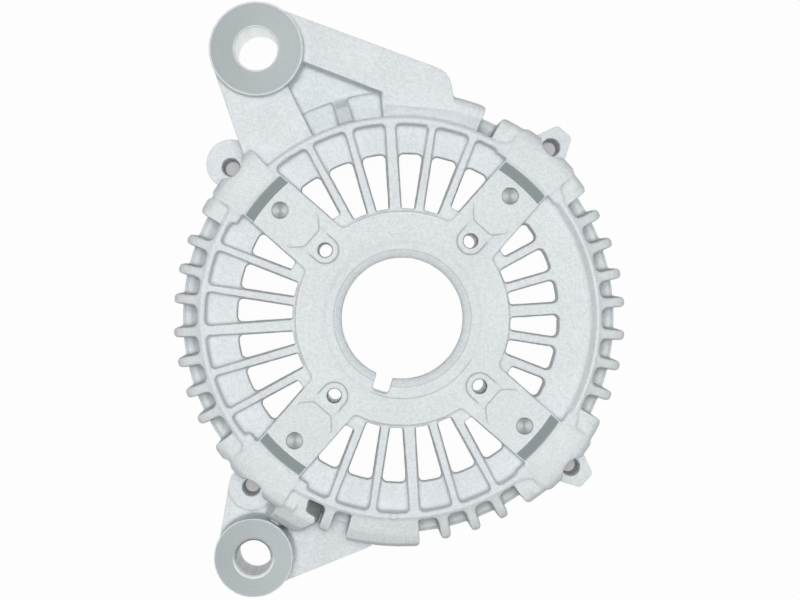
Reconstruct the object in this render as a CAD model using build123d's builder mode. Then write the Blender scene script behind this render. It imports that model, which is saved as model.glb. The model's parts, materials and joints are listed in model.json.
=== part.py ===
from build123d import *
import math
import os

# Drive end bracket of an alternator: one aluminium casting.
# The bearing axis is Z. The back face, which meets the stator, lies on Z = 0, and
# the outer side with the grille looks up. X runs to the right of the outer side.

# Levels above the back face
flange_level = 11.0
grille_back_level = 27.5
ledge_level = 31.0
plate_level = 33.2
rib_level_at_hub = 33.1
rib_level_at_rim = 36.2
rim_level = 36.6
hub_level = 34.2
hub_dish_level = 33.6
opening_lip_level = 31.6
screw_pad_level = 35.0
pad_level = 35.3
turned_land_level = 36.4
boss_level = 37.0
shoulder_level = 36.4
fin_root_level = 35.6
lug_level = 35.2
leg_level = 31.5
upper_web_level = 22.0
pocket_floor_level = 20.5
lower_web_level = 10.2
lower_web_back_level = 3.0

# Hub, bearing seat and opening
hub_radius = 31.9
hub_flat_radius = 25.5
hub_recess_radius = 23.7
hub_recess_level = 33.55
hub_recess_offset = 0.5
hub_recess_angle = 288.0
opening_radius = 18.3
opening_lead_radius = 20.9
opening_lip_length = 3.0
opening_lip_round = 0.8
bearing_seat_radius = 23.5
bearing_seat_depth = 14.0
seat_chamfer = 0.6
hub_wall = 5.2
notch_width = 5.1
notch_reach = 23.2
notch_angle = 253.0
notch_corner = 1.2

# Arms, pads and the turned band on each arm
sector_turn = 3.6
arm_half_width = 8.0
arm_draft = 3.0
arm_corner = 1.6
arm_back_half_width = 4.5
arm_back_level = 23.0
grille_overlap = 1.0
turned_inner_radius = 53.1
turned_outer_radius = 56.0
turned_land = 1.0
tongue_start = 36.3
tongue_half_width = 3.4
tongue_side_half_width = 6.3
tongue_chamfer = 3.2
tongue_step = 0.8
tongue_fade_radius = 43.0
tongue_end_gap = 1.0
tongue_overlap = 0.5
dimple_circle = 97.8
dimple_radius = 2.5
dimple_wall = 1.5
dimple_flat_radius = 0.8
dimple_depth = 2.5

# Retainer screws
screw_circle = 61.8
screw_hole_radius = 2.1
screw_chamfer = 0.45
screw_pad_radius = 3.9
screw_boss_radius = 4.8

# Grille
rib_half_width = 0.85
middle_rib_half_width = 1.3
rib_spacing = 12.5
rib_draft = 5.0
slot_inner_radius = 32.5
side_slot_inner_radius = 35.6
side_slot_angle = 34.0
side_slot_width = 11.0
ledge_inner_radius = 49.9
ledge_outer_radius = 58.7
plate_slot_outer_radius = 47.4
plate_outer_radius = 56.8
slot_corner = 1.05
slot_outer_corner = 1.6
plate_slot_corner = 1.8
ledge_corner = 1.7
plate_corner = 2.2
plate_draft = 25.0

# Rim, side wall and back flange, cast a little to the left of the turned places
rim_shift = -0.75
rim_radius = 60.4
rim_round = 0.9
wall_foot_radius = 61.6
wall_inner_radius = 57.2
join = 1.5
clearance = 2.0
near = 0.1
flange_radius = 67.5
flange_step = 1.3
flange_land = 2.8
register_radius = 64.5
register_depth = 6.0
trough_depth = 2.6

# Fins and the outlets between them
fin_tip_radius = 68.8
fin_half_width = 1.5
fin_tip_round = 1.45
fin_root_fillet = 1.6
fin_skirt = 0.2
fin_draft = 0.6
fin_bottom_level = 7.0
right_fins = [339.6, 347.6, 355.6, 4.2, 11.6, 19.9, 27.8]
left_fins = [159.3, 167.1, 174.9, 183.7, 191.5, 199.6, 207.0]
bottom_fins = [282.1, 290.1, 297.8]
web_fin = 250.1
ear_fin_angle = 106.0
ear_fin_half_width = 2.1
outlet_width = 5.0
outlet_height = 12.0
outlet_bottom_level = 14.0
outlet_corner = 1.5
outlet_run = 10.0

# Bosses and lugs at the arm ends
boss_spans = [(-8.6, 8.6), (-6.8, 8.6), (-8.6, 8.6), (-8.6, 8.6)]
boss_radius = 68.8
boss_corner = 2.6
boss_draft = 1.5
shoulder_spans = [(-11.9, 11.9), (-6.6, 11.9), (-11.9, 11.9), (-11.9, 11.9)]
shoulder_radius = 67.9
right_lugs = [37.0, 61.0, 306.3, 330.4]
left_lugs = [150.0, 216.6]
lug_half_width = 2.8
right_lug_radius = 67.9
left_lug_radius = 68.8
lug_corner = 1.8
lug_recess_radius = 60.7
lug_recess_half_width = 3.2
lug_recess_corner = 2.4
lug_reach = 75.0

# Knob between the lower left boss and the lower ear, hooked around a notch
knob_start = 236.0
knob_end = 242.0
knob_near_ear = (-39.6, -60.8)
knob_tip = (-34.4, -64.8)
knob_hook = [(-26.6, -61.4), (-26.4, -59.6), (-29.2, -58.2)]
knob_radius = 73.6
knob_foot_level = 9.0
knob_corner = 0.8
knob_draft = 6.0

# Crowns: how far the tops fall towards their outer edges, as pairs of the distance
# inwards from the outer radius and the drop from the top level
boss_crown = [(8.0, 0.1), (4.2, 0.7), (2.2, 1.7), (0.9, 3.4), (0.2, 6.0)]
shoulder_crown = [(5.0, 0.1), (2.4, 0.9), (0.9, 2.4), (0.2, 4.6)]
lug_crown = [(4.6, 0.2), (2.0, 1.0), (0.7, 2.4), (0.1, 4.6)]
knob_crown = [(10.6, 0.3), (6.4, 1.6), (3.2, 4.4), (1.0, 9.0), (0.2, 14.0)]
fin_crown = [(3.4, 2.6), (1.2, 4.6), (0.3, 7.6)]
band_crown = [(2.4, 0.0), (0.8, 1.3), (0.1, 3.4)]
block_crown = [(4.6, 1.8), (1.7, 4.0), (0.4, 8.0)]
ear_fin_crown = [(8.9, 2.5), (4.0, 6.6), (2.0, 11.6), (0.0, 15.6)]
crown_foot = 0.3

# Through bolts and their ears
bolt_circle = 141.2
bolt_hole_radius = 2.95
bolt_core_radius = 2.35
bolt_core_depth = 5.0
bolt_clearance_radius = 4.7
ear_tab_reach = 77.2
ear_tab_half_width = 2.9
ear_tab_root_half_width = 8.2
ear_tab_corner = 1.2
upper_lobe_radius = 7.7
upper_lobe_shift = 1.0
lower_lobe_radius = 7.1

# Upper mounting ear, its two legs and the web between them
upper_ear_x = -43.8
upper_ear_y = 80.6
upper_ear_face_level = 36.2
upper_ear_length = 25.0
upper_ear_bore_radius = 6.5
upper_ear_radius = 14.1
upper_ear_chamfer = 0.4
left_leg_start = 134.0
left_leg_end = 116.2
left_leg_corner_radius = 69.0
left_leg_left_angle = 196.0
left_leg_right_angle = -49.0
right_leg_start = 94.8
right_leg_end = 75.4
right_leg_corner_radius = 75.6
right_leg_corner_angle = 79.2
right_leg_round = 6.5
right_leg_top_angle = 70.6
right_leg_bottom_angle = -13.0
leg_draft = 1.5
web_overlap_angle = 2.0
web_overlap = 1.0
pocket_radius = 69.3

# Lower mounting ear and its web
lower_ear_x = -45.2
lower_ear_y = -73.0
lower_ear_face_level = 26.0
lower_ear_length = 23.0
lower_ear_bore_radius = 5.25
lower_ear_radius = 12.0
lower_ear_chamfer = 1.1
lower_web_start = 228.0
lower_web_end = 262.7
lower_web_reach = 72.0
lower_web_left_angle = 163.8
lower_web_right_angle = -67.6

# Band beside the upper web and block at the bottom
band_start = 68.1
band_end = 95.4
band_radius = 69.0
band_valley_depth = 2.4
band_valley_radius = 64.6
band_corner = 1.5
block_start = 255.5
block_end = 274.5
block_radius = 69.8
block_corner = 1.8
gate_mark_radius = 1.0
gate_mark_height = 0.4
gate_mark_circle = 118.6
gate_mark_angle = 267.5

# Worked out from the sizes above
reach = 2 * fin_tip_radius
above = boss_level + clearance
arm_angles = [sector_turn + 45 + 90 * quarter for quarter in range(4)]
open_sectors = [sector_turn + 90, sector_turn + 180, sector_turn + 270]
bearing_seat_top = opening_lip_level - opening_lip_length
hub_back_level = bearing_seat_top - bearing_seat_depth
hub_back_radius = bearing_seat_radius + hub_wall
bolt_radius = bolt_circle / 2
root_radius = wall_inner_radius + join
flange_root_radius = register_radius + join / 2
outer_corner_radius = (rim_radius + flange_radius) / 2
ear_fin_radius = pocket_radius + web_overlap
boss_start_radius = turned_outer_radius + turned_land
arm_level_at_tongue = pad_level - tongue_step
knob_recess_angle = (knob_start + knob_end) / 2
upper_ear_back_level = upper_ear_face_level - upper_ear_length
lower_ear_back_level = lower_ear_face_level - lower_ear_length
upper_ear = (upper_ear_x, upper_ear_y)
lower_ear = (lower_ear_x, lower_ear_y)
from_axis = (Align.MIN, Align.CENTER)
on_back_face = (Align.CENTER, Align.CENTER, Align.MIN)
axis_place = (0, 0)
rim_place = (rim_shift, 0)


def polar(radius, angle, center=(0, 0)):
    """Point at a radius and an angle in degrees from a center."""
    turn = math.radians(angle)
    return (center[0] + radius * math.cos(turn), center[1] + radius * math.sin(turn))


def drafted(half_width, level):
    """Half width of a rib at a level, wider further down."""
    return half_width + (rim_level - level) * math.tan(math.radians(rib_draft))


def wedge(start, end):
    """Corners of a wedge about the axis, for cutting a ring to a stretch."""
    return [(0, 0), polar(reach, start), polar(reach, (start + end) / 2), polar(reach, end)]


def distance(point):
    """Distance of a corner of an outline from the axis."""
    return math.hypot(point.X, point.Y)


def slot_outlines(sector, level, outer, corner, place=axis_place):
    """The six openings of one sector between its ribs, outlined at a level."""
    rib = drafted(rib_half_width, level)
    middle_rib = drafted(middle_rib_half_width, level)
    arm = arm_half_width + (pad_level - level) * math.tan(math.radians(arm_draft))
    with BuildSketch(Plane.XY.offset(level)) as outlines:
        Polygon(*wedge(sector - 45, sector + 45), align=None)
        with Locations(place):
            Circle(outer, mode=Mode.INTERSECT)
        Circle(slot_inner_radius, mode=Mode.SUBTRACT)
        with PolarLocations(0, 5, sector - 2 * rib_spacing, 4 * rib_spacing, endpoint=True):
            Rectangle(reach, 2 * rib, align=from_axis, mode=Mode.SUBTRACT)
        with PolarLocations(0, 1, sector):
            Rectangle(reach, 2 * middle_rib, align=from_axis, mode=Mode.SUBTRACT)
        with PolarLocations(0, 2, sector - 45, 90, endpoint=True):
            Rectangle(reach, 2 * arm, align=from_axis, mode=Mode.SUBTRACT)
        with PolarLocations(0, 2, sector - side_slot_angle, 2 * side_slot_angle, endpoint=True):
            Rectangle(side_slot_inner_radius, side_slot_width, align=from_axis, mode=Mode.SUBTRACT)
        split = (slot_inner_radius + outer) / 2
        fillet(outlines.vertices().filter_by(lambda point: distance(point) < split), slot_corner)
        fillet(outlines.vertices().filter_by(lambda point: distance(point) > split), corner)
    return outlines.sketch


def turned_hole(*profile):
    """Solid of a round hole, turned about its own axis from its radius at each level."""
    with BuildPart() as hole:
        with BuildSketch(Plane.XZ):
            with BuildLine():
                Polyline((0, profile[0][1]), *profile, (0, profile[-1][1]), close=True)
            make_face()
        revolve(axis=Axis.Z)
    return hole.part


def height_form(*profile):
    """Solid turned from its height at each radius, from the axis outwards."""
    with BuildPart() as form:
        with BuildSketch(Plane.XZ):
            with BuildLine():
                Polyline((0, 0), (0, profile[0][1]), *profile, (profile[-1][0], 0), close=True)
            make_face()
        revolve(axis=Axis.Z)
    return form.part


def crowned_form(start_radius, level, radius, crown, foot_level):
    """Solid whose level top falls towards its outer radius as its crown says."""
    falls = [(radius - inset, level - drop) for inset, drop in crown]
    return height_form((start_radius, level), *falls, (radius + crown_foot, foot_level))


def outer_corners(outline, radius=outer_corner_radius):
    """Corners of an outline further from the axis than a radius."""
    return outline.vertices().filter_by(lambda point: distance(point) > radius)


# Turned body: grille disc, rim, side wall and back flange
with BuildPart() as shell:
    with BuildSketch(Plane.XZ):
        with BuildLine():
            Polyline(
                (opening_radius, grille_back_level),
                (opening_radius, rib_level_at_hub),
                (hub_radius, rib_level_at_hub),
                (ledge_outer_radius, rib_level_at_rim),
                (rim_radius - rim_round, rim_level),
                (rim_radius, rim_level - rim_round),
                (wall_foot_radius, flange_level - trough_depth),
                (flange_radius - flange_land, flange_level),
                (flange_radius - flange_step, flange_level),
                (flange_radius - flange_step, flange_level - flange_land),
                (flange_radius, flange_level - flange_land - flange_step / 2),
                (flange_radius, 0),
                (wall_inner_radius, 0),
                (wall_inner_radius, grille_back_level),
                close=True,
            )
        make_face()
    revolve(axis=Axis.Z)

# Hub and arms, turned flat where the pads end
front_form = height_form(
    (opening_lead_radius, hub_dish_level),
    (hub_flat_radius, hub_level),
    (screw_circle / 2 - screw_pad_radius / 2, hub_level),
    (tongue_start, arm_level_at_tongue),
    (tongue_fade_radius, pad_level),
    (turned_inner_radius, pad_level),
    (turned_outer_radius, turned_land_level),
    (rim_radius, turned_land_level),
)

with BuildPart() as arms:
    with BuildSketch(Plane.XY.offset(above)) as arm_outline:
        Circle(hub_radius)
        with PolarLocations(0, 4, arm_angles[0]):
            Rectangle(rim_radius, 2 * arm_half_width, align=from_axis)
        corners = arm_outline.vertices().filter_by(lambda point: distance(point) < hub_radius + near)
        fillet(corners, arm_corner)
    extrude(amount=grille_back_level - above, taper=-arm_draft)
    add(front_form, mode=Mode.INTERSECT)

# Bosses over the through bolts, with the lower shoulders beside them
with BuildPart() as bosses:
    for arm_angle, (start, end) in zip(arm_angles, boss_spans):
        bolt = polar(bolt_radius, arm_angle)
        with BuildSketch(Plane.XY.offset(above)) as boss_outline:
            Polygon(*wedge(arm_angle + start, arm_angle + end), align=None)
            Circle(boss_radius, mode=Mode.INTERSECT)
            Circle(boss_start_radius, mode=Mode.SUBTRACT)
            with Locations(bolt):
                Circle(bolt_clearance_radius, mode=Mode.SUBTRACT)
            wide = outer_corners(boss_outline, boss_radius - near).filter_by(
                lambda point: Vector(point - Vector(*bolt)).length > bolt_clearance_radius + near
            )
            fillet(wide, boss_corner)
        extrude(amount=flange_level - join - above, taper=-boss_draft)
    add(
        crowned_form(boss_start_radius, boss_level, boss_radius, boss_crown, flange_level),
        mode=Mode.INTERSECT,
    )

with BuildPart() as shoulders:
    for arm_angle, (start, end) in zip(arm_angles, shoulder_spans):
        with BuildSketch(Plane.XY.offset(fin_bottom_level)):
            Polygon(*wedge(arm_angle + start, arm_angle + end), align=None)
            Circle(shoulder_radius + crown_foot, mode=Mode.INTERSECT)
            Circle(boss_start_radius, mode=Mode.SUBTRACT)
            with Locations(polar(bolt_radius, arm_angle)):
                Circle(bolt_clearance_radius, mode=Mode.SUBTRACT)
        extrude(amount=above - fin_bottom_level)
    add(
        crowned_form(boss_start_radius, shoulder_level, shoulder_radius, shoulder_crown, fin_bottom_level),
        mode=Mode.INTERSECT,
    )
    with BuildSketch(Plane.XY.offset(lug_level)) as lug_recesses:
        for angle in [*right_lugs, *left_lugs, knob_recess_angle]:
            with PolarLocations(0, 1, angle):
                Rectangle(lug_reach, 2 * lug_recess_half_width, align=from_axis)
        Circle(lug_recess_radius, mode=Mode.SUBTRACT)
        inner = lug_recesses.vertices().filter_by(lambda point: distance(point) < lug_recess_radius + near)
        fillet(inner, lug_recess_corner)
    extrude(amount=above - lug_level, mode=Mode.SUBTRACT)

# Fins, lugs and the knob around the side wall
with BuildPart() as fins:
    with BuildSketch(Plane.XY.offset(fin_root_level)) as fin_outline:
        Circle(rim_radius + fin_skirt)
        for angle in right_fins + left_fins + bottom_fins + [web_fin]:
            with PolarLocations(0, 1, angle):
                Rectangle(fin_tip_radius, 2 * fin_half_width, align=from_axis)
        fillet(outer_corners(fin_outline), fin_tip_round)
        roots = fin_outline.vertices().filter_by(lambda point: distance(point) < outer_corner_radius)
        fillet(roots, fin_root_fillet)
        Circle(root_radius, mode=Mode.SUBTRACT)
    extrude(amount=fin_bottom_level - fin_root_level, taper=-fin_draft)
    add(
        crowned_form(rim_radius, fin_root_level, fin_tip_radius, fin_crown, fin_bottom_level),
        mode=Mode.INTERSECT,
    )

lugs = []
for lug_angles, lug_radius in ((right_lugs, right_lug_radius), (left_lugs, left_lug_radius)):
    with BuildPart() as side_lugs:
        with BuildSketch(Plane.XY.offset(lug_level)) as lug_outline:
            for angle in lug_angles:
                with PolarLocations(0, 1, angle):
                    Rectangle(lug_radius, 2 * lug_half_width, align=from_axis)
            Circle(root_radius, mode=Mode.SUBTRACT)
            fillet(outer_corners(lug_outline), lug_corner)
        extrude(amount=fin_bottom_level - lug_level, taper=-fin_draft)
        add(
            crowned_form(rim_radius, lug_level, lug_radius, lug_crown, fin_bottom_level),
            mode=Mode.INTERSECT,
        )
    lugs.append(side_lugs)

with BuildPart() as knob:
    with BuildSketch(Plane.XY.offset(lug_level)) as knob_outline:
        Polygon(
            polar(root_radius, knob_start), knob_near_ear, knob_tip, *knob_hook, polar(root_radius, knob_end),
            align=None,
        )
        fillet(outer_corners(knob_outline), knob_corner)
    extrude(amount=knob_foot_level - lug_level, taper=-knob_draft)
    add(
        crowned_form(rim_radius, lug_level, knob_radius, knob_crown, knob_foot_level),
        mode=Mode.INTERSECT,
    )

# Ears of the through bolts: two tabs on the right, two lobes on the left
with BuildPart() as bolt_ears:
    for arm_angle in (arm_angles[0], arm_angles[3]):
        with BuildSketch() as tab_outline:
            with PolarLocations(0, 1, arm_angle):
                Polygon(
                    (flange_root_radius, ear_tab_root_half_width),
                    (flange_root_radius, -ear_tab_root_half_width),
                    (ear_tab_reach, -ear_tab_half_width),
                    (ear_tab_reach, ear_tab_half_width),
                    align=None,
                )
            fillet(outer_corners(tab_outline, bolt_radius), ear_tab_corner)
        extrude(amount=flange_level)
    for arm_angle, lobe_radius, shift in (
        (arm_angles[1], upper_lobe_radius, upper_lobe_shift),
        (arm_angles[2], lower_lobe_radius, 0),
    ):
        lobe_x, lobe_y = polar(bolt_radius, arm_angle)
        with BuildSketch():
            with Locations((lobe_x, lobe_y + shift)):
                Circle(lobe_radius)
            Circle(flange_root_radius, mode=Mode.SUBTRACT)
        extrude(amount=flange_level)

# Upper mounting ear: two legs, a lower web between them and the pockets' floor
with BuildPart() as upper_bracket:
    with BuildSketch(Plane.XY.offset(upper_ear_back_level)):
        Polygon(
            upper_ear,
            polar(wall_inner_radius, left_leg_start),
            polar(wall_inner_radius, left_leg_end),
            polar(wall_inner_radius, (left_leg_end + right_leg_start) / 2),
            polar(wall_inner_radius, right_leg_start - web_overlap_angle),
            polar(pocket_radius, right_leg_start - web_overlap_angle),
            align=None,
        )
        Circle(pocket_radius, mode=Mode.SUBTRACT)
    extrude(amount=upper_web_level - upper_ear_back_level)
    with BuildSketch(Plane.XY.offset(fin_bottom_level)):
        Polygon(*wedge(right_leg_start - web_overlap_angle, left_leg_end + web_overlap_angle), align=None)
        Circle(pocket_radius + web_overlap, mode=Mode.INTERSECT)
        Circle(root_radius, mode=Mode.SUBTRACT)
    extrude(amount=pocket_floor_level - fin_bottom_level)
    with BuildSketch(Plane.XY.offset(leg_level)) as legs:
        Polygon(
            polar(upper_ear_radius, left_leg_left_angle, upper_ear),
            polar(left_leg_corner_radius, left_leg_start),
            polar(root_radius, left_leg_start),
            polar(root_radius, (left_leg_start + left_leg_end) / 2),
            polar(root_radius, left_leg_end),
            polar(rim_radius, left_leg_end),
            polar(upper_ear_radius, left_leg_right_angle, upper_ear),
            upper_ear,
            align=None,
        )
        Polygon(
            polar(upper_ear_radius, right_leg_top_angle, upper_ear),
            polar(right_leg_corner_radius, right_leg_corner_angle),
            polar(band_valley_radius, right_leg_end),
            polar(band_valley_radius, right_leg_start),
            polar(pocket_radius - web_overlap, right_leg_start),
            polar(upper_ear_radius, right_leg_bottom_angle, upper_ear),
            upper_ear,
            align=None,
        )
        round_corner = outer_corners(legs, right_leg_corner_radius - near).filter_by(lambda point: point.X > 0)
        fillet(round_corner, right_leg_round)
    extrude(amount=upper_ear_back_level - leg_level, taper=-leg_draft)
    with BuildSketch(Plane.XY.offset(upper_ear_back_level)):
        with Locations(upper_ear):
            Circle(upper_ear_radius)
    extrude(amount=upper_ear_length)

# Lower mounting ear and its web
with BuildPart() as lower_bracket:
    with BuildSketch(Plane.XY.offset(lower_web_back_level)):
        Polygon(
            polar(lower_ear_radius, lower_web_left_angle, lower_ear),
            polar(lower_lobe_radius, lower_web_left_angle, polar(bolt_radius, arm_angles[2])),
            polar(root_radius, lower_web_start),
            polar(root_radius, (lower_web_start + lower_web_end) / 2),
            polar(root_radius, lower_web_end),
            polar(lower_web_reach, lower_web_end),
            polar(lower_ear_radius, lower_web_right_angle, lower_ear),
            lower_ear,
            align=None,
        )
        Circle(flange_root_radius, mode=Mode.SUBTRACT)
    extrude(amount=lower_web_level - lower_web_back_level)
    with BuildSketch(Plane.XY.offset(lower_ear_back_level)):
        with Locations(lower_ear):
            Circle(lower_ear_radius)
    extrude(amount=lower_ear_length)

# Band beside the upper web, block at the bottom, and the fin between the upper legs
band_falls = [(band_radius - inset, leg_level - drop) for inset, drop in band_crown]
with BuildPart() as band:
    with BuildSketch(Plane.XY.offset(fin_bottom_level)) as band_outline:
        Polygon(*wedge(band_start, band_end), align=None)
        Circle(band_radius, mode=Mode.INTERSECT)
        Circle(root_radius, mode=Mode.SUBTRACT)
        fillet(outer_corners(band_outline), band_corner)
    extrude(amount=leg_level - fin_bottom_level)
    add(
        height_form(
            (rim_radius + crown_foot, leg_level - band_valley_depth),
            (band_valley_radius, leg_level),
            *band_falls,
            (band_radius + crown_foot, fin_bottom_level),
        ),
        mode=Mode.INTERSECT,
    )

with BuildPart() as block:
    with BuildSketch(Plane.XY.offset(fin_bottom_level)) as block_outline:
        Polygon(*wedge(block_start, block_end), align=None)
        Circle(block_radius, mode=Mode.INTERSECT)
        Circle(root_radius, mode=Mode.SUBTRACT)
        fillet(outer_corners(block_outline), block_corner)
    extrude(amount=fin_root_level - fin_bottom_level)
    add(
        crowned_form(rim_radius, fin_root_level, block_radius, block_crown, fin_bottom_level),
        mode=Mode.INTERSECT,
    )

with BuildPart() as ear_fin:
    with BuildSketch(Plane.XY.offset(fin_root_level)):
        with PolarLocations(0, 1, ear_fin_angle):
            Rectangle(ear_fin_radius, 2 * ear_fin_half_width, align=from_axis)
        Circle(root_radius, mode=Mode.SUBTRACT)
    extrude(amount=fin_bottom_level - fin_root_level, taper=-fin_draft)
    add(
        crowned_form(rim_radius, fin_root_level, ear_fin_radius, ear_fin_crown, fin_bottom_level),
        mode=Mode.INTERSECT,
    )

# Hub behind the grille, with the screw bosses, the arms' back ribs, pads, tongues and gate mark
with BuildPart() as hub:
    with BuildSketch(Plane.XY.offset(hub_back_level)):
        Circle(hub_back_radius)
        with PolarLocations(screw_circle / 2, 4, arm_angles[0]):
            Circle(screw_boss_radius)
    extrude(amount=grille_back_level + grille_overlap - hub_back_level)
    with BuildSketch(Plane.XY.offset(arm_back_level)):
        with PolarLocations(0, 4, arm_angles[0]):
            Rectangle(root_radius, 2 * arm_back_half_width, align=from_axis)
    extrude(amount=grille_back_level + grille_overlap - arm_back_level)
    with BuildSketch(Plane.XY.offset(grille_back_level)):
        with PolarLocations(screw_circle / 2, 4, arm_angles[0]):
            Circle(screw_pad_radius)
            Rectangle(tongue_start + tongue_overlap - screw_circle / 2, 2 * screw_pad_radius, align=from_axis)
    extrude(amount=screw_pad_level - grille_back_level)
    with BuildSketch(Plane.XY.offset(grille_back_level)) as tongues:
        with PolarLocations(0, 4, arm_angles[0]):
            Polygon(
                (tongue_start, -tongue_half_width),
                (tongue_start + tongue_chamfer, -tongue_side_half_width),
                (turned_inner_radius - tongue_end_gap, -tongue_side_half_width),
                (turned_inner_radius - tongue_end_gap, tongue_side_half_width),
                (tongue_start + tongue_chamfer, tongue_side_half_width),
                (tongue_start, tongue_half_width),
                align=None,
            )
    extrude(amount=pad_level - grille_back_level)
    with BuildSketch(Plane.XY.offset(grille_back_level)):
        with Locations(polar(gate_mark_circle / 2, gate_mark_angle)):
            Circle(gate_mark_radius)
    extrude(amount=rim_level + gate_mark_height - grille_back_level)

# Openings of the grille: ledges and windows of three sectors, plate and windows of the fourth
with BuildPart() as slots:
    for sector in open_sectors:
        ledges = slot_outlines(sector, above, ledge_outer_radius, ledge_corner, rim_place)
        extrude(ledges, amount=ledge_level - above, taper=rib_draft)
        windows = slot_outlines(sector, ledge_level, ledge_inner_radius, slot_outer_corner)
        extrude(windows, amount=grille_back_level - grille_overlap - ledge_level, taper=rib_draft)
    with BuildSketch(Plane.XY.offset(plate_level)) as plate_outline:
        Polygon(*wedge(sector_turn - 45, sector_turn + 45), align=None)
        Circle(plate_outer_radius, mode=Mode.INTERSECT)
        Circle(hub_radius - grille_overlap, mode=Mode.SUBTRACT)
        with PolarLocations(0, 2, sector_turn - 45, 90, endpoint=True):
            Rectangle(reach, 2 * arm_half_width - grille_overlap, align=from_axis, mode=Mode.SUBTRACT)
        fillet(outer_corners(plate_outline, plate_slot_outer_radius), plate_corner)
    extrude(amount=above - plate_level, taper=-plate_draft)
    windows = slot_outlines(sector_turn, plate_level, plate_slot_outer_radius, plate_slot_corner)
    extrude(windows, amount=grille_back_level - grille_overlap - plate_level, taper=rib_draft)
    with BuildSketch(Plane.XY.offset(arm_level_at_tongue)):
        with PolarLocations(0, 4, arm_angles[0]):
            Rectangle(turned_outer_radius, 2 * arm_half_width + grille_overlap, align=from_axis)
    extrude(amount=above - arm_level_at_tongue)

# Holes: stator register, bearing seat and opening, screws, dimples, through bolts, ears and air outlets
with BuildPart() as holes:
    with BuildSketch(Plane.XZ):
        with BuildLine():
            Polyline(
                (0, 0),
                (register_radius, 0),
                (register_radius, register_depth),
                (bearing_seat_radius + seat_chamfer, register_depth),
                (bearing_seat_radius + seat_chamfer, hub_back_level),
                (bearing_seat_radius, hub_back_level + seat_chamfer),
                (bearing_seat_radius, bearing_seat_top),
                (opening_radius, bearing_seat_top),
                (opening_radius, opening_lip_level),
                (opening_radius + opening_lip_round, opening_lip_level + opening_lip_round),
                (opening_lead_radius, hub_dish_level),
                (opening_lead_radius, above),
                (0, above),
                close=True,
            )
        make_face()
    revolve(axis=Axis.Z)
    with BuildSketch(Plane.XY.offset(hub_recess_level)):
        with Locations(polar(hub_recess_offset, hub_recess_angle)):
            Circle(hub_recess_radius)
    extrude(amount=above - hub_recess_level)
    with BuildSketch(Plane.XY.offset(bearing_seat_top)) as notch:
        with PolarLocations(0, 1, notch_angle):
            Rectangle(notch_reach, notch_width, align=from_axis)
        fillet(notch.vertices().filter_by(lambda point: distance(point) > opening_radius), notch_corner)
    extrude(amount=above - bearing_seat_top)
    with PolarLocations(screw_circle / 2, 4, arm_angles[0]):
        add(
            turned_hole(
                (screw_hole_radius + screw_chamfer, hub_back_level),
                (screw_hole_radius, hub_back_level + screw_chamfer),
                (screw_hole_radius, screw_pad_level - screw_chamfer),
                (screw_hole_radius + screw_chamfer, screw_pad_level),
                (screw_hole_radius + screw_chamfer, above),
            )
        )
    with PolarLocations(dimple_circle / 2, 4, arm_angles[0]):
        add(
            turned_hole(
                (dimple_flat_radius, pad_level - dimple_depth),
                (dimple_radius, pad_level - dimple_wall),
                (dimple_radius, above),
            )
        )
    with PolarLocations(bolt_radius, 4, arm_angles[0]):
        add(
            turned_hole(
                (bolt_core_radius, 0),
                (bolt_core_radius, bolt_core_depth),
                (bolt_hole_radius, flange_level),
                (bolt_clearance_radius, flange_level),
                (bolt_clearance_radius, above),
            )
        )
    with Locations(upper_ear):
        add(
            turned_hole(
                (upper_ear_bore_radius + upper_ear_chamfer, upper_ear_back_level),
                (upper_ear_bore_radius, upper_ear_back_level + upper_ear_chamfer),
                (upper_ear_bore_radius, upper_ear_face_level - upper_ear_chamfer),
                (upper_ear_bore_radius + upper_ear_chamfer, upper_ear_face_level),
            )
        )
    with Locations(lower_ear):
        add(
            turned_hole(
                (lower_ear_bore_radius + lower_ear_chamfer, lower_ear_back_level),
                (lower_ear_bore_radius, lower_ear_back_level + lower_ear_chamfer),
                (lower_ear_bore_radius, lower_ear_face_level - lower_ear_chamfer),
                (lower_ear_bore_radius + lower_ear_chamfer, lower_ear_face_level),
            )
        )
    for group in (right_fins, left_fins, bottom_fins):
        for start, end in zip(group, group[1:]):
            middle = (start + end + (360 if end < start else 0)) / 2
            outward = Vector(*polar(1, middle))
            with BuildSketch(
                Plane(
                    origin=outward * (register_radius - outlet_run) + Vector(0, 0, outlet_bottom_level),
                    x_dir=Vector(0, 0, 1),
                    z_dir=outward,
                )
            ):
                RectangleRounded(outlet_height, outlet_width, outlet_corner, align=from_axis)
            extrude(amount=outlet_run)

# The casting: everything joined, then the openings and the holes taken out
with BuildPart() as drive_end_bracket:
    with Locations(rim_place):
        add(shell.part)
    add(slots.part, mode=Mode.SUBTRACT)
    with Locations(rim_place):
        add(fins.part)
    for form in (bosses, shoulders, *lugs, knob, bolt_ears, upper_bracket, lower_bracket, band, block, ear_fin):
        add(form.part)
    with Locations(rim_place):
        Cylinder(wall_inner_radius, grille_back_level, align=on_back_face, mode=Mode.SUBTRACT)
    for form in (arms, hub):
        add(form.part)
    add(holes.part, mode=Mode.SUBTRACT)

drive_end_bracket.part.label = "drive_end_bracket"
os.makedirs("parts", exist_ok=True)
export_step(drive_end_bracket.part, "parts/drive_end_bracket.step")
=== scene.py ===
import json
import math

import bmesh
import bpy
from bpy.props import FloatProperty, FloatVectorProperty, IntProperty, PointerProperty
from mathutils import Matrix, Vector


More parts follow.
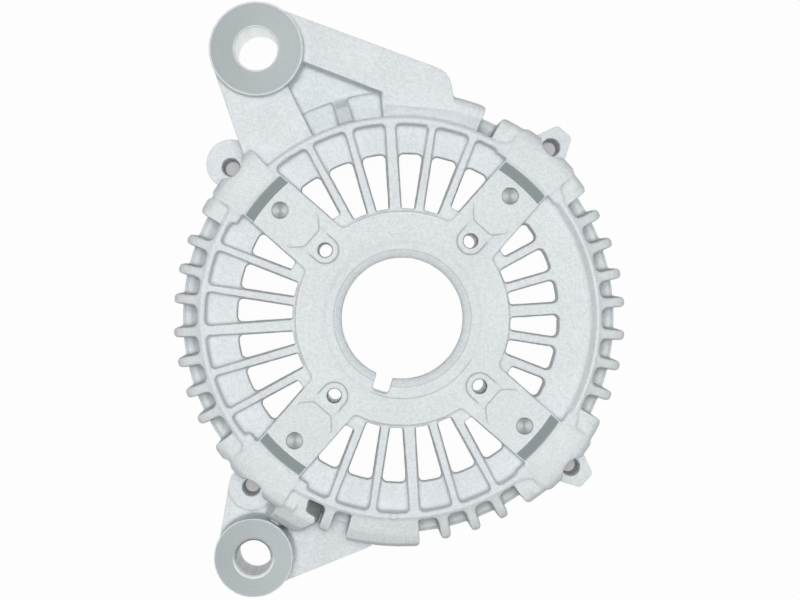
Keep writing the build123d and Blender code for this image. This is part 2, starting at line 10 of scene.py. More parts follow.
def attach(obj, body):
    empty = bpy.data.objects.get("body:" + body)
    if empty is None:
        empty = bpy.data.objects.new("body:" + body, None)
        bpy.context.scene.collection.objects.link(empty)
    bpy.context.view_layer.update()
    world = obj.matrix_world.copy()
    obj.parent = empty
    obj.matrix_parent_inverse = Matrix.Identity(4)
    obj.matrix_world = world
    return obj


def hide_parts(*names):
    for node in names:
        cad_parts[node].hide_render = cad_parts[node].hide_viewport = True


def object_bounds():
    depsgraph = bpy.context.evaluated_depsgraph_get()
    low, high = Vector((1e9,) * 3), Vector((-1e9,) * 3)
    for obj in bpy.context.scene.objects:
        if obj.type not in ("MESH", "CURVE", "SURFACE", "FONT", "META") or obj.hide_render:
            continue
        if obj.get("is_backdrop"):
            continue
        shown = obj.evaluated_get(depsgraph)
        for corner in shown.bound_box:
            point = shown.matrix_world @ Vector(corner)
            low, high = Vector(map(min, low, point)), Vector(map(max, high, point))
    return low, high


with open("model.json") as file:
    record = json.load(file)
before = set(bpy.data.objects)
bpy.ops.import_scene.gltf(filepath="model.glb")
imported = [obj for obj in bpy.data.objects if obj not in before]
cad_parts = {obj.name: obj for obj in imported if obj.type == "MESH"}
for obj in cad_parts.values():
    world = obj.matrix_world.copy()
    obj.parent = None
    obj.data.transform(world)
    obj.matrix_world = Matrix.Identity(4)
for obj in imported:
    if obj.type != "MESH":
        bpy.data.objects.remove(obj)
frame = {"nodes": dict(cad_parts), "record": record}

bl_info = {
    "name": "Alternator Drive End Bracket",
    "version": (1, 0, 0),
    "blender": (4, 5, 0),
    "location": "View3D > Sidebar > Bracket",
    "description": "Finishes a cast alternator bracket around its packed model and sets the studio",
    "category": "Object",
}

MM = 0.001
CASTING_NODE = "drive_end_bracket"
MOUNTS = {mount["name"]: mount for mount in frame["record"]["mounts"]}

# Places on the arms, in millimetres and degrees
SECTOR_TURN = 3.6
ARM_ANGLES = [SECTOR_TURN + 45 + 90 * quarter for quarter in range(4)]
PAD_LEVEL = 35.3
TURNED_BAND = (53.05, 56.05)
TURNED_HALF_WIDTH = 7.8
TURNED_DEPTH = 0.4
DIMPLE_CIRCLE = 97.8
DIMPLE_RADIUS = 2.6
DIMPLE_EDGE_DEPTH = 0.3
DIMPLE_TIP_RADIUS_SQUARED = 0.1
SCREW_PLACE = 30.9
SCREW_PAD_EDGE = 4.05
SCREW_PAD_FADE = (32.6, 34.8)
SCREW_HOLE_TOP = 34.6
SCREW_HOLE_WALL = 0.2
BOLT_HOLE_WALL = 0.9
BOLT_HOLE_LEVELS = (1.0, 9.5)
TONGUE_START = 36.3
TONGUE_HALF_WIDTHS = (3.4, 6.3)
TONGUE_SLOPE = 2.9 / 3.2
TONGUE_CORNER = 1.2
TONGUE_FOOT = 0.1
TONGUE_FADE = (38.2, 41.5)
BAND_LINE = 56.2

# Places on the hub and the ears, and the fitted faces behind, in millimetres and degrees
LEAD_IN_RADIUS = 20.7
LEAD_IN_LEVEL = 33.0
RECESS_RADIUS = 23.7
RECESS_OFFSET = 0.5
RECESS_ANGLE = 288.0
RECESS_REACH = 40.0
RECESS_FADE = 0.8
UPPER_FACE_RADIUS = 13.6
LOWER_FACE_RADIUS = 11.65
UPPER_EAR_CHAMFER = 0.4
LOWER_EAR_CHAMFER = 1.1
FACE_DEPTH = 0.3
BORE_WALL = 0.15
BORE_START = 0.7
BORE_FADE = 0.3
SEAT_WALL = 0.35
SEAT_MARGIN = 0.2
REGISTER_MARGIN = 0.15
BACK_DEPTH = 0.15

# Softness of a mask's edge, and the thin lines of painted shade at the feet of steps, in millimetres
MASK_EDGE = 0.06
HOLE_MASK_EDGE = 0.15
LINE_HALF_WIDTH = 0.2
BAND_LINE_HALF_WIDTH = 0.12
RECESS_LINE_HALF_WIDTH = 0.1
LINE_FADE = (0.4, 1.6)
LEAD_IN_SHARE = 0.5

# Where the cast edges are worn softest, in millimetres and degrees, and by what share
RIM_CENTRE = -0.75
FIN_RADII = (61.2, 72.0)
FIN_SHARP_LEVEL = 20.0
WEB_ANGLES = ((86.0, 133.0), (226.0, 262.0))
FIN_ANGLES = ((0.0, 32.0), (155.0, 211.5), (276.0, 302.0), (335.5, 360.0))
LUG_SHARE = 0.2
CORNER_RADIUS = 57.9
CORNER_SIDE = 11.7
CORNER_REACH = (2.0, 3.0)
CORNER_SHARE = 0.4
CORNER_LEVEL = 26.0
SMOOTH_FACTOR = 0.5
MERGE_DISTANCE = 1e-6

# The blasted skin: its noises, their shares and the tones that they lead to, and painted shade and highlights
GRAIN = {"Scale": 2300.0, "Detail": 2.0, "Roughness": 0.65}
PITS = {"Scale": 850.0, "Detail": 1.0, "Roughness": 0.5}
CLOUD = {"Scale": 70.0, "Detail": 2.0, "Roughness": 0.5}
SKIN_SHARES = (0.6, 0.25, 0.15)
SKIN_RANGE = (0.36, 0.64)
SKIN_TONES = (0.88, 1.07)
# Painted shade: occlusion darkens the skin's colour in inside corners
CREVICE_SHADE_SAMPLES = 6
CREVICE_SHADE_RANGE = (0.5, 0.96)
CREVICE_SHADE_TONE = 0.58
# Painted highlight: occlusion that looks inside the metal brightens the skin's colour on outside edges
EDGE_HIGHLIGHT_SAMPLES = 4
EDGE_HIGHLIGHT_RANGE = (0.45, 0.9)
EDGE_HIGHLIGHT_TONE = 1.3
# Tone of the painted shade lines at the feet of steps
CREASE_SHADE_TONE = 0.4
CAST_ROUGHNESS = (0.5, 0.2)
CAST_RELIEF = 0.6

# Machined places: the rings that the tool left, their shares and tones, and the painted gleam, light and
# sheen on the ears' faces, the lower chamfer and the dimples
TOOL_MARKS = {"Scale": 2600.0, "Detail": 1.0, "Roughness": 0.5}
# Painted gleam: the ears' faces lighter towards their right side
FACE_PAINTED_GLEAM = 0.15
FACE_MARKS = 0.5
FACE_BASE = 0.25
FACE_TONES = (0.78, 1.22)
BAND_SHARE = 0.5
BAND_TONES = (0.86, 1.2)
# Tones of the dimples' painted sheen
DIMPLE_TONES = (0.62, 1.15)
# Painted light on the lower ear's chamfer, bright towards its bottom
CHAMFER_PAINTED_LIGHT = (-0.3, 0.6)
MACHINED_ROUGHNESS = (0.26, 0.16)
MACHINED_METALLIC = 0.95
CHAMFER_METALLIC = 0.3
MACHINED_RELIEF = 0.12
BUMP_STRENGTH = 0.5
BUMP_HEIGHT = 0.00012

# Floor and soft boxes, in metres
FLOOR_SIZE = 6.0
FLOOR_GAP = 0.0002
FLOOR_WHITE = 0.97
# Painted shadow: share of the floor's white taken away under each bolt hole, and each spot's size
HOLE_SHADE = 0.72
HOLE_SHADE_RADIUS = 3.4 * MM
OVERHEAD_SIZE = (0.35, 0.3)
OVERHEAD_PLACE = (-0.02, 0.06, 1.25)
SIDE_SIZE = (0.5, 0.9)
SIDE_REACH = 1.0
SIDE_HEIGHT = 0.75
WHITE = (1.0, 1.0, 1.0, 1.0)

# Camera, in metres: the hub's front, the size of a pixel in its plane, and the nearest view
HUB_FRONT = 0.0343
PIXEL = 0.0003
CLIP_START = 0.01

# Places in the photograph, in pixels, and the lens and its sensor, in millimetres
AXIS_PIXEL = (402.4, 318.3)
VANISHING_PIXEL = (370.0, 290.0)
PICTURE_CENTRE = (400.0, 300.0)
LENS = 90.0
SENSOR_WIDTH = 36.0


def scaled(colour, share=1.0):
    """A colour with its brightness scaled, for a colour socket."""
    return (*[channel * share for channel in colour], 1.0)


def polar(radius, degrees):
    """A point in metres from a radius in millimetres and an angle."""
    turn = math.radians(degrees)
    return radius * MM * math.cos(turn), radius * MM * math.sin(turn)


def turned(x, y, degrees):
    """A point's coordinates on axes turned about Z, worked as expressions."""
    turn = math.radians(degrees)
    along = x * math.cos(turn) + y * math.sin(turn)
    across = y * math.cos(turn) - x * math.sin(turn)
    return along, across


class Value:
    """A number or vector socket whose operators add Math nodes."""

    def __init__(self, shade, socket):
        self.shade = shade
        self.socket = socket

    def __add__(self, other):
        return self.shade.math("ADD", self, other)

    def __radd__(self, other):
        return self.shade.math("ADD", self, other)

    def __sub__(self, other):
        return self.shade.math("SUBTRACT", self, other)

    def __rsub__(self, other):
        return self.shade.math("SUBTRACT", other, self)

    def __mul__(self, other):
        return self.shade.math("MULTIPLY", self, other)

    def __rmul__(self, other):
        return self.shade.math("MULTIPLY", self, other)

    def __truediv__(self, other):
        return self.shade.math("DIVIDE", self, other)


class Shade:
    """Builds the nodes of one material, or of a world, from Python expressions."""

    def __init__(self, name, world=None):
        self.material = world or bpy.data.materials.new(name)
        self.material.use_nodes = True
        self.tree = self.material.node_tree
        self.tree.nodes.clear()
        kind = "ShaderNodeOutputWorld" if world else "ShaderNodeOutputMaterial"
        self.output = self.tree.nodes.new(kind)

    def node(self, kind, settings=None, out=0, **sockets):
        """A node with its settings and its sockets' values or links; _0 names a socket by number."""
        made = self.tree.nodes.new(kind)
        for key, value in (settings or {}).items():
            setattr(made, key, value)
        for key, value in sockets.items():
            name = int(key[1:]) if key[0] == "_" else key.replace("_", " ")
            self.feed(made.inputs[name], value)
        return Value(self, made.outputs[out])

    def feed(self, socket, value):
        """A link into a socket, or a plain value set on it."""
        if isinstance(value, Value):
            self.tree.links.new(value.socket, socket)
        else:
            socket.default_value = value

    def math(self, operation, *values):
        """A Math node on numbers and sockets."""
        sockets = {f"_{index}": value for index, value in enumerate(values)}
        return self.node("ShaderNodeMath", {"operation": operation}, **sockets)

    def ramp(self, value, low, high):
        """0 below low, 1 above high, smooth between."""
        return self.node(
            "ShaderNodeMapRange",
            {"interpolation_type": "SMOOTHSTEP"},
            Value=value, From_Min=low, From_Max=high, To_Min=0.0, To_Max=1.0,
        )

    def mix(self, factor, first, second):
        """Colour mix; inputs 6 and 7 and output 2 are the node's colours."""
        made = self.tree.nodes.new("ShaderNodeMix")
        made.data_type = "RGBA"
        self.feed(made.inputs["Factor"], factor)
        self.feed(made.inputs[6], first)
        self.feed(made.inputs[7], second)
        return Value(self, made.outputs[2])

    def tones(self, factor, colour, shares):
        """A colour between two shares of its brightness."""
        return self.mix(factor, *(scaled(colour, share) for share in shares))

    def blend(self, factor, first, second):
        """Number mix, worked as an expression."""
        return first + (second - first) * factor

    def occlusion(self, samples, size, inside=False):
        """1 in the open and lower in corners, or on edges where it looks inside the metal."""
        kind = "ShaderNodeAmbientOcclusion"
        return self.node(kind, {"samples": samples, "inside": inside}, out="AO", Distance=size)

    def finish(self, shader):
        """The material or world, with its shader linked to its output."""
        self.tree.links.new(shader.socket, self.output.inputs["Surface"])
        return self.material


class Zones:
    """The machined places of the casting, and the places of its painted shade and sheen, as masks over its
    Object coordinates.
    """

    def __init__(self, shade):
        self.shade = shade
        self.place = shade.node("ShaderNodeTexCoord", out="Object")
        apart = shade.tree.nodes.new("ShaderNodeSeparateXYZ")
        shade.feed(apart.inputs[0], self.place)
        self.x, self.y, self.z = (Value(shade, socket) for socket in apart.outputs)
        self.radius = self.distance((0.0, 0.0))

    def distance(self, centre):
        """Distance from an axis along Z."""
        across, up = self.x - centre[0], self.y - centre[1]
        return self.shade.math("SQRT", across * across + up * up)

    def under(self, value, limit, edge=MASK_EDGE * MM):
        """1 where a value is under a limit."""
        return 1 - self.shade.ramp(value, limit - edge, limit + edge)

    def over(self, value, limit, edge=MASK_EDGE * MM):
        """1 where a value is over a limit."""
        return self.shade.ramp(value, limit - edge, limit + edge)

    def line(self, value, place, half_width=LINE_HALF_WIDTH):
        """1 on a thin line where a value is at a place in millimetres, fading to 0 beside it."""
        away = self.shade.math("ABSOLUTE", value - place * MM)
        near, far = LINE_FADE
        return 1 - self.shade.ramp(away, half_width * MM * near, half_width * MM * far)

    def fading(self, value, places):
        """1 before the first of two places in millimetres, 0 past the second."""
        near, far = places
        return 1 - self.shade.ramp(value, near * MM, far * MM)

    def either(self, masks):
        """The largest of several masks."""
        result = masks[0]
        for mask in masks[1:]:
            result = self.shade.math("MAXIMUM", result, mask)
        return result

    def arm_place(self):
        """Distances along the nearest arm and off its middle line."""
        turns = turned(self.x, self.y, ARM_ANGLES[0])
        sides = [self.shade.math("ABSOLUTE", side) for side in turns]
        return self.shade.math("MAXIMUM", *sides), self.shade.math("MINIMUM", *sides)

    def screw_pad_line(self, along, across):
        """The foot of each screw pad's step, which runs out along the arm."""
        short = self.shade.math("MINIMUM", along - SCREW_PLACE * MM, 0.0)
        capsule = self.shade.math("SQRT", short * short + across * across)
        return self.line(capsule, SCREW_PAD_EDGE) * self.fading(along, SCREW_PAD_FADE)

    def tongue_line(self, along, across):
        """The outline of each pad's tongue, with round corners, which runs out along the arm."""
        start, side = TONGUE_HALF_WIDTHS
        slanted = across - start * MM - (along - TONGUE_START * MM) * TONGUE_SLOPE
        ahead = TONGUE_START * MM - along
        outside = self.shade.math("SMOOTH_MAX", slanted, ahead, TONGUE_CORNER * MM)
        outside = self.shade.math("MAXIMUM", outside, across - side * MM)
        return self.line(outside, TONGUE_FOOT) * self.fading(along, TONGUE_FADE)

    def recess_line(self):
        """The part of the recess's edge that lies clear of the opening."""
        away = self.distance(polar(RECESS_OFFSET, RECESS_ANGLE))
        toward = turned(self.x, self.y, RECESS_ANGLE)[0]
        facing = toward - away * math.cos(math.radians(RECESS_REACH))
        edge = self.line(away, RECESS_RADIUS, RECESS_LINE_HALF_WIDTH)
        return edge * self.over(facing, 0, RECESS_FADE * MM)

    def creases(self):
        """Where painted shade lines the feet of the pads' steps on the arms, and the edges around the
        opening.
        """
        along, across = self.arm_place()
        on_arm = self.under(across, TURNED_HALF_WIDTH * MM)
        lines = [
            self.screw_pad_line(along, across),
            self.tongue_line(along, across),
            self.line(self.radius, BAND_LINE, BAND_LINE_HALF_WIDTH) * on_arm,
            self.recess_line(),
            self.line(self.radius, LEAD_IN_RADIUS) * LEAD_IN_SHARE,
        ]
        return self.either(lines) * self.over(self.z, LEAD_IN_LEVEL * MM)

    def turned_bands(self):
        """The turned cone at the end of each arm's pad."""
        inner, outer = TURNED_BAND
        ring = self.over(self.radius, inner * MM) * self.under(self.radius, outer * MM)
        level = self.over(self.z, (PAD_LEVEL - TURNED_DEPTH) * MM)
        return ring * level * self.under(self.arm_place()[1], TURNED_HALF_WIDTH * MM)

    def round_places(self, circle, radius):
        """Four round places in metres, at the arms' angles on a circle's diameter in millimetres."""
        centres = [polar(circle / 2, angle) for angle in ARM_ANGLES]
        return self.either([self.under(self.distance(centre), radius) for centre in centres])

    def holes_of(self, name, wall):
        """The four holes of a mount, with the wall around them in millimetres."""
        dims = MOUNTS[name]["dims"]
        return self.round_places(dims["pcd_mm"], (dims["hole_r_mm"] + wall) * MM)

    def screw_holes(self):
        """The retainer screws' holes, below the pads' faces."""
        holes = self.holes_of("retainer_screws", SCREW_HOLE_WALL)
        return holes * self.under(self.z, SCREW_HOLE_TOP * MM, HOLE_MASK_EDGE * MM)

    def bolt_holes(self):
        """The through-bolt holes, fading out from the lower level to the upper."""
        holes = self.holes_of("through_bolts", BOLT_HOLE_WALL)
        return holes * self.fading(self.z, BOLT_HOLE_LEVELS)

    def dimples(self):
        """The drilled dimples, below the pads' faces."""
        places = self.round_places(DIMPLE_CIRCLE, DIMPLE_RADIUS * MM)
        return places * self.under(self.z, (PAD_LEVEL - DIMPLE_EDGE_DEPTH) * MM)

    def dimple_sheen(self):
        """Painted sheen of the drilled cones: bright to their left and right, dark above and below."""
        sheens = []
        for angle in ARM_ANGLES:
            centre = polar(DIMPLE_CIRCLE / 2, angle)
            across, away = self.x - centre[0], self.distance(centre)
            side = across * across / (away * away + DIMPLE_TIP_RADIUS_SQUARED * MM * MM)
            sheens.append(side * self.under(away, DIMPLE_RADIUS * MM))
        return self.either(sheens)

    def fitted_bore(self, name, margin):
        """Inside a round mount, up to its upper end and a margin in millimetres."""
        mount = MOUNTS[name]
        top = mount["pos_m"][2] + mount["dims"]["length_mm"] / 2 * MM
        inside = self.under(self.radius, mount["dims"]["r_mm"] * MM + SEAT_WALL * MM)
        return inside * self.under(self.z, top + margin * MM)

    def fitted_faces(self):
        """The bearing seat, the stator register and the back face."""
        return self.either([
            self.fitted_bore("bearing_seat", SEAT_MARGIN),
            self.fitted_bore("stator_register", REGISTER_MARGIN),
            self.under(self.z, BACK_DEPTH * MM),
        ])


class Ear:
    """A mounting ear: its masks, the distance off its axis, and where right and down are."""

    def __init__(self, zones, name, face_radius, chamfer):
        centre = MOUNTS[name]["pos_m"]
        dims = MOUNTS[name]["dims"]
        half = (dims["length_mm"] / 2) * MM
        radius = dims["r_mm"] * MM
        level = zones.shade.math("ABSOLUTE", zones.z - centre[2])
        in_bore = zones.under(level, half - (chamfer + BORE_START) * MM, BORE_FADE * MM)
        self.away = zones.distance(centre)
        self.face = zones.under(self.away, face_radius * MM) * zones.over(level, half - FACE_DEPTH * MM)
        self.bore = zones.under(self.away, radius + BORE_WALL * MM) * in_bore
        self.rim = zones.under(self.away, radius + chamfer * MM)
        self.right = (zones.x - centre[0]) / self.away
        self.down = (centre[1] - zones.y) / self.away


def cast_colour(shade, zones, settings, skin):
    """The blasted skin, with painted shade in corners and at the feet of steps, and a painted highlight on
    edges.
    """
    colour = settings.cast_colour
    # Painted shade in inside corners
    crevice_shade = shade.occlusion(CREVICE_SHADE_SAMPLES, settings.crevice_size)
    # Painted highlight on outside edges
    edge = shade.occlusion(EDGE_HIGHLIGHT_SAMPLES, settings.edge_size, inside=True)
    cast = shade.tones(shade.ramp(skin, *SKIN_RANGE), colour, SKIN_TONES)
    cast = shade.mix(shade.ramp(crevice_shade, *CREVICE_SHADE_RANGE), scaled(colour, CREVICE_SHADE_TONE), cast)
    cast = shade.mix(shade.ramp(edge, *EDGE_HIGHLIGHT_RANGE), scaled(colour, EDGE_HIGHLIGHT_TONE), cast)
    # Painted shade lines at the feet of the pads' steps and at the opening's edges
    return shade.mix(zones.creases() * settings.crease_depth, cast, scaled(colour, CREASE_SHADE_TONE))


def cast_metal(name, settings):
    """Blasted cast aluminium, with the bracket's machined places darker, smoother and turned; the darker
    tones, gleam and sheen there are painted shade and painted light.
    """
    shade = Shade(name)
    zones = Zones(shade)
    upper = Ear(zones, "upper_ear", UPPER_FACE_RADIUS, UPPER_EAR_CHAMFER)
    lower = Ear(zones, "lower_ear", LOWER_FACE_RADIUS, LOWER_EAR_CHAMFER)
    bands = zones.turned_bands()
    holes = zones.either([zones.screw_holes(), zones.bolt_holes()])
    faces = zones.either([upper.face, lower.face, lower.rim, zones.fitted_faces()])
    # The upper rim in the chamfer colour; the lower chamfer with painted light, bright towards its bottom
    rims_and_painted_light = zones.either([upper.rim, lower.rim * shade.ramp(lower.down, *CHAMFER_PAINTED_LIGHT)])
    machined = zones.either([faces, rims_and_painted_light, bands, holes])

    # Fine grain, pits of about a millimetre, broad clouds, and the rings that a tool leaves
    grain, pits, cloud = (
        shade.node("ShaderNodeTexNoise", Vector=zones.place, **noise) for noise in (GRAIN, PITS, CLOUD)
    )
    rings = shade.blend(upper.face, shade.blend(lower.face, zones.radius, lower.away), upper.away)
    marks = shade.node("ShaderNodeTexNoise", {"noise_dimensions": "1D"}, W=rings, **TOOL_MARKS)

    # Colours, from the skin to the smallest machined places; the machined tones carry painted shade, and the
    # faces, lower chamfer and dimples painted light
    of_grain, of_pits, of_cloud = SKIN_SHARES
    skin = grain * of_grain + pits * of_pits + cloud * of_cloud
    # Painted gleam on the ears' faces, lighter towards their right, mixed with the tool's rings
    painted_gleam = upper.right * upper.face * FACE_PAINTED_GLEAM + lower.right * lower.face * FACE_PAINTED_GLEAM
    painted_gleam_and_marks = painted_gleam + marks * FACE_MARKS + FACE_BASE
    band_sheen = grain * BAND_SHARE + marks * BAND_SHARE
    colour = cast_colour(shade, zones, settings, skin)
    for mask, finish in (
        (faces, shade.tones(painted_gleam_and_marks, settings.machined_colour, FACE_TONES)),
        (bands, shade.tones(band_sheen, settings.turned_colour, BAND_TONES)),
        (rims_and_painted_light, scaled(settings.chamfer_colour)),
        (lower.bore, scaled(settings.bore_colour)),
        (holes, scaled(settings.hole_colour)),
        (zones.dimples(), shade.tones(zones.dimple_sheen(), settings.dimple_colour, DIMPLE_TONES)),
    ):
        colour = shade.mix(mask, colour, finish)

    # Finish: the cast skin first, the machined places second
    dull, uneven = CAST_ROUGHNESS
    smooth, marked = MACHINED_ROUGHNESS
    roughness = shade.blend(machined, dull + grain * uneven, smooth + marks * marked)
    metallic = shade.blend(machined, settings.cast_metallic, MACHINED_METALLIC)
    metallic = shade.blend(lower.rim * (1 - lower.bore), metallic, CHAMFER_METALLIC)
    skin_height = grain * CAST_RELIEF + pits * CAST_RELIEF
    height = shade.blend(machined, skin_height, marks * MACHINED_RELIEF)
    bump = shade.node("ShaderNodeBump", Strength=BUMP_STRENGTH, Distance=BUMP_HEIGHT, Height=height)
    shader = shade.node(
        "ShaderNodeBsdfPrincipled", Base_Color=colour, Roughness=roughness, Metallic=metallic, Normal=bump,
    )
    return shade.finish(shader)


def colour_setting(name, description, default):
    """A colour that a user can change."""
    return FloatVectorProperty(
        name=name, description=description, subtype="COLOR", size=3, min=0.0, max=1.0, default=default,
    )


def length_setting(name, description, default):
    """A length in metres that a user can change."""
    return FloatProperty(name=name, description=description, unit="LENGTH", default=default)


class BracketSettings(bpy.types.PropertyGroup):
    cast_colour: colour_setting("Cast colour", "Colour of the blasted casting", (0.70, 0.735, 0.75))
    cast_metallic: FloatProperty(
        name="Cast metallic", description="How far the blasted skin reflects as bare metal",
        min=0.0, max=1.0, default=0.12,
    )
    # The machined metal's colour, darkened as painted shade for the dark that the faced ears mirror
    machined_colour: colour_setting(
        "Machined colour", "Colour of the faced ears, seat and register", (0.455, 0.497, 0.508),
    )
    # A dark tone for the turned bands: painted shade that stands in for their tilt away from the light
    turned_colour: colour_setting(
        "Turned colour", "Colour of the turned band on each arm", (0.26, 0.30, 0.305),
    )
    chamfer_colour: colour_setting(
        "Chamfer colour", "Colour of the ear bores' chamfers and of the upper bore", (0.84, 0.87, 0.88),
    )
    # A dark tone for the lower bore: painted shade inside it
    bore_colour: colour_setting("Bore colour", "Colour of the lower ear's bore", (0.26, 0.285, 0.29))
    # The dimples' drilled metal, darkened as painted shade of the recess
    dimple_colour: colour_setting(
        "Dimple colour", "Colour of the drilled dimples on the arms", (0.52, 0.55, 0.56),
    )
    # A dark tone for the screw and bolt holes: painted shade inside them
    hole_colour: colour_setting(
        "Hole colour", "Colour of the drilled screw and bolt holes", (0.21, 0.23, 0.235),
    )
    # Strength of the painted shade lines at the feet of the pads' steps
    crease_depth: FloatProperty(
        name="Crease depth", description="How dark the feet of the pads' steps are",
        min=0.0, max=1.0, default=0.62,
    )
    # Reach of the painted highlight on outside edges
    edge_size: length_setting("Edge size", "Reach of the brighter tone on outside edges", 0.0008)
    # Reach of the painted shade in inside corners
    crevice_size: length_setting("Crevice size", "Reach of the darker tone in inside corners", 0.0012)
    skin_size: length_setting(
        "Skin size", "Size of the cells that the rounded skin is made from", 0.00035,
    )
    rounding: IntProperty(
        name="Rounding", description="Steps of smoothing that round the edges", default=3,
    )
    fin_rounding: IntProperty(
        name="Fin rounding", default=45,
        description="Further steps of smoothing on the fins, the lugs and the bosses' corners",
    )
    wobble: length_setting("Wobble", "Height of the unevenness of the cast skin", 0.00012)
    wobble_size: length_setting("Wobble size", "Breadth of the unevenness of the cast skin", 0.003)
    triangles: IntProperty(name="Triangles", description="Most triangles in the casting", default=190000)
    floor_colour: colour_setting("Floor colour", "Colour of the floor as it lights the part", (0.4, 0.4, 0.4))
    overhead_power: FloatProperty(
        name="Overhead power", description="Power of the upper soft box", default=13.2,
    )
    side_power: FloatProperty(
        name="Side power", description="Power of each soft box at the side", default=1.6,
    )
    sky_strength: FloatProperty(name="Sky strength", description="Light from all round", default=0.08)
    camera_height: length_setting("Camera height", "Height of the camera above the hub", 0.6)


def add_modifier(piece, name, kind, **values):
    """A modifier on a piece, with its settings."""
    made = piece.modifiers.new(name, kind)
    for key, value in values.items():
        setattr(made, key, value)


def apply_modifiers(piece):
    """The piece's mesh as its modifiers leave it, and the modifiers gone."""
    depsgraph = bpy.context.evaluated_depsgraph_get()
    piece.data = bpy.data.meshes.new_from_object(piece.evaluated_get(depsgraph))
    piece.modifiers.clear()


def merged_copy(mesh):
    """A copy of a mesh with its faces joined along their shared edges."""
    copy = mesh.copy()
    shape = bmesh.new()
    shape.from_mesh(copy)
    bmesh.ops.remove_doubles(shape, verts=shape.verts, dist=MERGE_DISTANCE)
    shape.to_mesh(copy)
    shape.free()
    return copy


def boss_corners():
    """Where both sides of each boss meet the rim, in metres."""
    return [polar(CORNER_RADIUS, angle + side * CORNER_SIDE) for angle in ARM_ANGLES for side in (-1, 1)]


def rim_wear(place, corners):
    """Share of the fins' rounding: all on fins and in the bosses' corners, some beside and on lugs."""
    if place.z > CORNER_LEVEL * MM:
        near = min(math.hypot(place.x - x, place.y - y) for x, y in corners)
        if near < CORNER_REACH[1] * MM:
            return 1.0 if near < CORNER_REACH[0] * MM else CORNER_SHARE
    inner, outer = FIN_RADII
    away = math.hypot(place.x - RIM_CENTRE * MM, place.y)
    angle = math.degrees(math.atan2(place.y, place.x)) % 360
    on_web = any(first < angle < last for first, last in WEB_ANGLES)
    if on_web or place.z < FIN_SHARP_LEVEL * MM or not inner * MM < away < outer * MM:
        return 0.0
    return 1.0 if any(first < angle < last for first, last in FIN_ANGLES) else LUG_SHARE


def mark_wear(piece):
    """A vertex group that holds each point's share of the fins' rounding."""
    group = piece.vertex_groups.new(name="fins")
    corners = boss_corners()
    shares = [rim_wear(vertex.co, corners) for vertex in piece.data.vertices]
    for share in (LUG_SHARE, CORNER_SHARE, 1.0):
        group.add([index for index, own in enumerate(shares) if own == share], share, "REPLACE")
    return group.name


def cast_form(node, settings):
    """The casting's own shape with the edges and corners rounded as a mould leaves them."""
    piece = bpy.data.objects.new("casting", merged_copy(node.data))
    bpy.context.scene.collection.objects.link(piece)
    add_modifier(piece, "skin", "REMESH", mode="VOXEL", voxel_size=settings.skin_size)
    add_modifier(piece, "rounding", "SMOOTH", factor=SMOOTH_FACTOR, iterations=settings.rounding)
    apply_modifiers(piece)
    add_modifier(
        piece, "worn_fins", "SMOOTH",
        factor=SMOOTH_FACTOR, iterations=settings.fin_rounding, vertex_group=mark_wear(piece),
    )
    wobble = bpy.data.textures.new("casting_wobble", "CLOUDS")
    wobble.noise_scale = settings.wobble_size
    add_modifier(
        piece, "uneven", "DISPLACE",
        texture=wobble, texture_coords="LOCAL", strength=settings.wobble, mid_level=0.5,
    )
    quads = len(piece.data.polygons)
    add_modifier(piece, "thinning", "DECIMATE", ratio=settings.triangles / (2 * quads))
    apply_modifiers(piece)
    piece.data.shade_smooth()
    return piece


def seen_directly(shade):
    """1 for the rays that show a background: camera, glossy and transmission rays."""
    path = shade.tree.nodes.new("ShaderNodeLightPath")
    kinds = ("Camera", "Glossy", "Transmission")
    camera, glossy, transmission = (Value(shade, path.outputs[f"Is {kind} Ray"]) for kind in kinds)
    return shade.math("MINIMUM", camera + glossy + transmission, 1.0)


def make_floor(settings):
    """A pale floor that shows white, with a faint shadow, and with painted shadow where it lies in the bolt
    holes.
    """
    bpy.ops.mesh.primitive_plane_add(size=FLOOR_SIZE, location=(0, 0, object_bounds()[0][2] - FLOOR_GAP))
    floor = bpy.context.object
    floor.name = "floor"
    shade = Shade("floor_white")
    lit = shade.node("ShaderNodeBsdfDiffuse", Color=scaled(settings.floor_colour))
    white = shade.node("ShaderNodeEmission", Color=WHITE, Strength=1.0)
    hole_shadow_spots = Zones(shade).round_places(MOUNTS["through_bolts"]["dims"]["pcd_mm"], HOLE_SHADE_RADIUS)
    # Less white at the bolt holes: painted shadow, through which the floor's lit colour shows
    shown = seen_directly(shade) * (FLOOR_WHITE - hole_shadow_spots * HOLE_SHADE)
    mixed = shade.node("ShaderNodeMixShader", _0=shown, _1=lit, _2=white)
    floor.data.materials.append(shade.finish(mixed))
    floor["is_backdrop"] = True


def soft_box(scene, name, size, place, power):
    """A rectangular lamp that faces the part, and isn't mirrored in its flat faces."""
    lamp = bpy.data.lights.new(name, "AREA")
    lamp.shape = "RECTANGLE"
    lamp.size, lamp.size_y = size
    lamp.energy = power
    box = bpy.data.objects.new(name, lamp)
    box.location = place
    box.rotation_euler = (-Vector(place)).to_track_quat("-Z", "Y").to_euler()
    box.visible_glossy = False
    scene.collection.objects.link(box)


def make_lights(scene, settings):
    """A soft box overhead, one on each side, and a sky that is dim but shows white."""
    soft_box(scene, "overhead", OVERHEAD_SIZE, OVERHEAD_PLACE, settings.overhead_power)
    for name, side in (("left", -1), ("right", 1)):
        soft_box(scene, name, SIDE_SIZE, (side * SIDE_REACH, 0, SIDE_HEIGHT), settings.side_power)
    scene.world = bpy.data.worlds.new("studio")
    shade = Shade("studio", scene.world)
    dim = shade.node("ShaderNodeBackground", Color=WHITE, Strength=settings.sky_strength)
    white = shade.node("ShaderNodeBackground", Color=WHITE, Strength=1.0)
    shade.finish(shade.node("ShaderNodeMixShader", _0=seen_directly(shade), _1=dim, _2=white))


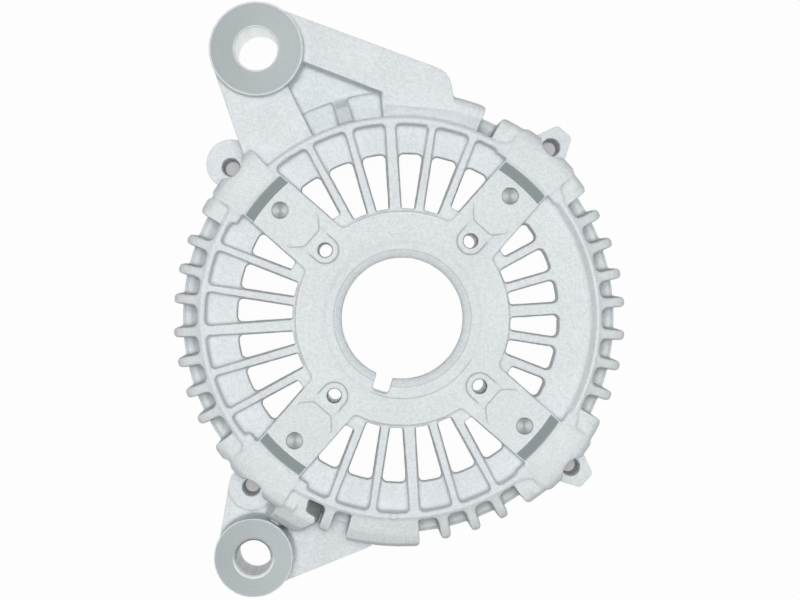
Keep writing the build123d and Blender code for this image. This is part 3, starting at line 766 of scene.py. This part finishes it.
def make_camera(scene, settings):
    """The photograph's camera: almost straight above, a little to the left and the top."""
    above = Vector((
        (VANISHING_PIXEL[0] - AXIS_PIXEL[0]) * PIXEL,
        (AXIS_PIXEL[1] - VANISHING_PIXEL[1]) * PIXEL,
        HUB_FRONT + settings.camera_height,
    ))
    aim = Vector((
        (PICTURE_CENTRE[0] - AXIS_PIXEL[0]) * PIXEL,
        (AXIS_PIXEL[1] - PICTURE_CENTRE[1]) * PIXEL,
        HUB_FRONT,
    ))
    look = (aim - above).normalized()
    right = look.cross(Vector((0, 1, 0))).normalized()
    up = right.cross(look)
    camera = bpy.data.objects.new("camera", bpy.data.cameras.new("camera"))
    camera.data.lens = LENS
    camera.data.sensor_width = SENSOR_WIDTH
    camera.data.clip_start = CLIP_START
    camera.matrix_world = Matrix((right, up, -look)).transposed().to_4x4()
    camera.location = above
    scene.collection.objects.link(camera)
    scene.camera = camera


class BRACKET_OT_casting(bpy.types.Operator):
    """Finish the casting"""

    bl_idname = "bracket.casting"
    bl_label = "Casting"

    def execute(self, context):
        settings = context.scene.bracket
        piece = cast_form(frame["nodes"][CASTING_NODE], settings)
        piece.data.materials.clear()
        piece.data.materials.append(cast_metal("cast_aluminium", settings))
        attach(piece, "root")
        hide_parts(CASTING_NODE)
        return {"FINISHED"}


class BRACKET_OT_stage(bpy.types.Operator):
    """Set the floor, the lights and the camera"""

    bl_idname = "bracket.stage"
    bl_label = "Stage"

    def execute(self, context):
        scene = context.scene
        settings = scene.bracket
        scene.view_settings.view_transform = "Standard"
        make_floor(settings)
        make_lights(scene, settings)
        make_camera(scene, settings)
        return {"FINISHED"}


class BRACKET_PT_panel(bpy.types.Panel):
    bl_idname = "BRACKET_PT_panel"
    bl_label = "Drive End Bracket"
    bl_space_type = "VIEW_3D"
    bl_region_type = "UI"
    bl_category = "Bracket"

    def draw(self, context):
        settings = context.scene.bracket
        for name in settings.bl_rna.properties.keys():
            if name not in ("rna_type", "name"):
                self.layout.prop(settings, name)
        for operator in OPERATORS:
            self.layout.operator(operator.bl_idname)


OPERATORS = (BRACKET_OT_casting, BRACKET_OT_stage)
CLASSES = (BracketSettings, *OPERATORS, BRACKET_PT_panel)


def register():
    for cls in CLASSES:
        bpy.utils.register_class(cls)
    bpy.types.Scene.bracket = PointerProperty(type=BracketSettings)


def unregister():
    del bpy.types.Scene.bracket
    for cls in reversed(CLASSES):
        bpy.utils.unregister_class(cls)


def main():
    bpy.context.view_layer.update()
    register()
    bpy.ops.bracket.casting()
    bpy.ops.bracket.stage()


if __name__ == "__main__":
    main()
